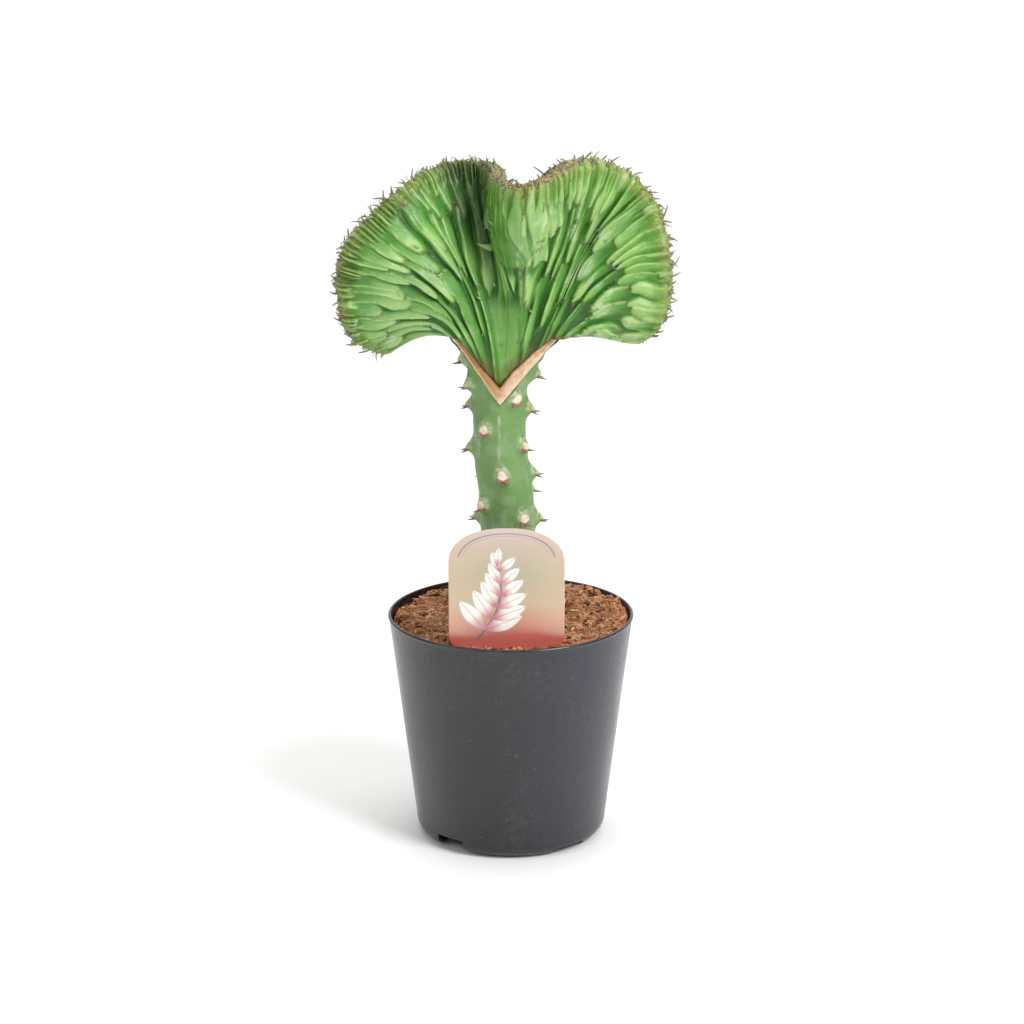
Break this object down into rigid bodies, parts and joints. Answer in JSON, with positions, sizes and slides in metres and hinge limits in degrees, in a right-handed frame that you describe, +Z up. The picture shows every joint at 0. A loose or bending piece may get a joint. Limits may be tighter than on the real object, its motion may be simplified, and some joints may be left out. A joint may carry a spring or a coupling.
{
  "type": "potted grafted coral cactus",
  "caption": "Crested, fan-shaped succulent grafted on a columnar spiny stock, standing in a round tapered nursery pot filled with coir, with a plain plant tag.",
  "frame": {"origin": "centre of the pot's underside, on the surface that the pot stands on", "axes": "+Z up along the pot's axis, -Y towards the fan's broad front and the plant tag, +X to the right seen from the front"},
  "size_m": [0.1636, 0.12, 0.3391],
  "materials": {
    "pot_plastic": "satin",
    "potting_mix": "matte",
    "stem_skin": "satin",
    "corky_callus": "matte",
    "fan_skin": "satin",
    "tag_plastic": "satin"
  },
  "bodies": {
    "root": {"pot": "pot_plastic", "soil": "potting_mix", "stock": "stem_skin", "graft_callus": "corky_callus", "crest": "fan_skin", "plant_tag": "tag_plastic"}
  },
  "joints": []
}
